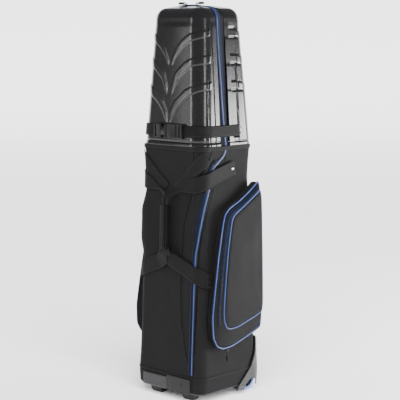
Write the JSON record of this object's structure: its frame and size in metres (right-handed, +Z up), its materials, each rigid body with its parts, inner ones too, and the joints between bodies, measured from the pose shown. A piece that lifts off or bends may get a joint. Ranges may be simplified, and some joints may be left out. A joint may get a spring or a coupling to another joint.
{
  "type": "golf travel cover",
  "caption": "Tall wheeled golf travel cover: soft black fabric body with side pockets, webbing carry handle and a hard two-piece top with a compression strap.",
  "frame": {"origin": "middle of the bounding box, on the ground", "axes": "+X to the bag's right side, +Y to its back where the wheels are, +Z up; the carry handle faces -Y"},
  "size_m": [0.3896, 0.306, 1.2989],
  "materials": {
    "body_fabric": "coarse plain-woven coated polyester, matt, charcoal black",
    "shell_plastic": "polished moulded polycarbonate, near black, with a fine leather-like grain",
    "webbing": "ribbed woven nylon webbing, black",
    "zip_tape": "black woven zip tape with a nylon coil",
    "piping": "satin coated cord piping, royal blue",
    "moulding": "fine spark-textured moulded plastic, black",
    "kick_plate": "ribbed moulded plastic, dark grey with a light sheen",
    "tyre": "cast polyurethane, blue, slightly glossy",
    "steel": "nickel-plated steel, satin",
    "foam": "grey closed-cell foam and board, cloth covered"
  },
  "bodies": {
    "bag": {"front_panel": "body_fabric", "side_panel_right": "body_fabric", "side_panel_left": "body_fabric", "back_panel": "body_fabric", "neck_binding": "body_fabric", "shoulder_band_right": "webbing", "shoulder_band_left": "webbing", "rear_shell": "shell_plastic", "top_gusset": "body_fabric", "top_zip_chain": "zip_tape", "top_piping": "piping", "crown_pad": "foam", "strap_anchor_right": "steel", "strap_anchor_left": "steel", "handle_anchor_upper_right": "webbing", "handle_anchor_upper_left": "webbing", "handle_anchor_lower_right": "webbing", "handle_anchor_lower_left": "webbing", "pocket_shell_right": "body_fabric", "pocket_shell_left": "body_fabric", "front_piping": "piping", "front_zip_chain": "zip_tape", "base_tray": "moulding", "base_board": "foam", "kick_plate": "kick_plate", "kick_pad": "moulding", "foot_right": "moulding", "foot_left": "moulding", "wheel_axle_right": "steel", "wheel_axle_left": "steel", "wheel_housing_right": "moulding", "wheel_housing_left": "moulding"},
    "front_top": {"front_shell": "shell_plastic"},
    "right_strap": {"strap_right": "webbing"},
    "left_strap": {"strap_left": "webbing", "buckle_socket": "moulding"},
    "plug": {"buckle_plug": "moulding"},
    "wheel_right": {"wheel_tyre_right": "tyre", "wheel_hub_right": "moulding", "wheel_bearing_outer_right": "steel", "wheel_bearing_inner_right": "steel"},
    "wheel_left": {"wheel_tyre_left": "tyre", "wheel_hub_left": "moulding", "wheel_bearing_outer_left": "steel", "wheel_bearing_inner_left": "steel"},
    "handle_right": {"handle_loop_right": "webbing", "grip_pad_right": "webbing"},
    "handle_left": {"handle_loop_left": "webbing", "grip_pad_left": "webbing"},
    "lid_right": {"pocket_lid_right": "body_fabric"},
    "lid_left": {"pocket_lid_left": "body_fabric"},
    "slider_right": {"top_zip_slider_right": "steel"},
    "pull_right": {"top_zip_pull_right": "webbing"},
    "slider_left": {"top_zip_slider_left": "steel"},
    "pull_left": {"top_zip_pull_left": "webbing"},
    "pocket_slider_right": {"pocket_zip_slider_right": "steel"},
    "pocket_pull_right": {"pocket_zip_pull_right": "webbing"},
    "pocket_slider_left": {"pocket_zip_slider_left": "steel"},
    "pocket_pull_left": {"pocket_zip_pull_left": "webbing"}
  },
  "joints": [
    {"name": "wheel_right_spin", "type": "hinge", "parent": "bag", "child": "wheel_right", "pos_m": [0.12, 0.11504, 0.036], "axis": [1, 0, 0], "continuous": true},
    {"name": "wheel_left_spin", "type": "hinge", "parent": "bag", "child": "wheel_left", "pos_m": [-0.12, 0.11504, 0.036], "axis": [1, 0, 0], "continuous": true},
    {"name": "top_open", "type": "hinge", "parent": "bag", "child": "front_top", "pos_m": [0, -0.11996, 0.836], "axis": [1, 0, 0], "range_deg": [0, 85]},
    {"name": "strap_right_swing", "type": "hinge", "parent": "bag", "child": "right_strap", "pos_m": [0.1416, 0.05904, 0.885], "axis": [0, 0, 1], "range_deg": [0, 105]},
    {"name": "strap_left_swing", "type": "hinge", "parent": "bag", "child": "left_strap", "pos_m": [-0.1416, 0.05904, 0.885], "axis": [0, 0, -1], "range_deg": [0, 140]},
    {"name": "buckle_release", "type": "slide", "parent": "right_strap", "child": "plug", "axis": [1, 0, 0], "range_m": [0, 0.03]},
    {"name": "handle_right_swing", "type": "hinge", "parent": "bag", "child": "handle_right", "pos_m": [0.15, -0.09796, 0.4], "axis": [-0.0187, 0.2912, 0.9565], "range_deg": [0, 75]},
    {"name": "handle_left_swing", "type": "hinge", "parent": "bag", "child": "handle_left", "pos_m": [-0.15, -0.09796, 0.4], "axis": [-0.0187, -0.2912, -0.9565], "range_deg": [0, 75]},
    {"name": "pocket_right_open", "type": "hinge", "parent": "bag", "child": "lid_right", "pos_m": [0.185, 0.12754, 0.455], "axis": [-0.0225, 0, 0.9997], "range_deg": [0, 110]},
    {"name": "pocket_left_open", "type": "hinge", "parent": "bag", "child": "lid_left", "pos_m": [-0.185, 0.12754, 0.455], "axis": [-0.0225, 0, -0.9997], "range_deg": [0, 110]},
    {"name": "top_slider_right_travel", "type": "slide", "parent": "bag", "child": "slider_right", "axis": [1, 0, 0], "range_m": [0, 0.045]},
    {"name": "top_pull_right_flip", "type": "hinge", "parent": "slider_right", "child": "pull_right", "pos_m": [0.0355, -0.02446, 1.29795], "axis": [0, -1, 0], "range_deg": [0, 150]},
    {"name": "top_slider_left_travel", "type": "slide", "parent": "bag", "child": "slider_left", "axis": [-1, 0, 0], "range_m": [0, 0.045]},
    {"name": "top_pull_left_flip", "type": "hinge", "parent": "slider_left", "child": "pull_left", "pos_m": [-0.0235, -0.02446, 1.29795], "axis": [0, 1, 0], "range_deg": [0, 150]},
    {"name": "pocket_slider_right_travel", "type": "slide", "parent": "bag", "child": "pocket_slider_right", "axis": [0, 0.969, 0.247], "range_m": [0, 0.1]},
    {"name": "pocket_pull_right_swing", "type": "hinge", "parent": "pocket_slider_right", "child": "pocket_pull_right", "pos_m": [0.174, -0.03096, 0.1669], "axis": [0, -1, 0], "range_deg": [0, 80]},
    {"name": "pocket_slider_left_travel", "type": "slide", "parent": "bag", "child": "pocket_slider_left", "axis": [0, 0.969, 0.247], "range_m": [0, 0.1]},
    {"name": "pocket_pull_left_swing", "type": "hinge", "parent": "pocket_slider_left", "child": "pocket_pull_left", "pos_m": [-0.174, -0.03096, 0.1669], "axis": [0, 1, 0], "range_deg": [0, 80]}
  ],
  "couplings": [
    {"joint": "strap_right_swing", "follows": "top_open", "ratio": 1.2},
    {"joint": "strap_left_swing", "follows": "top_open", "ratio": 1.6}
  ]
}
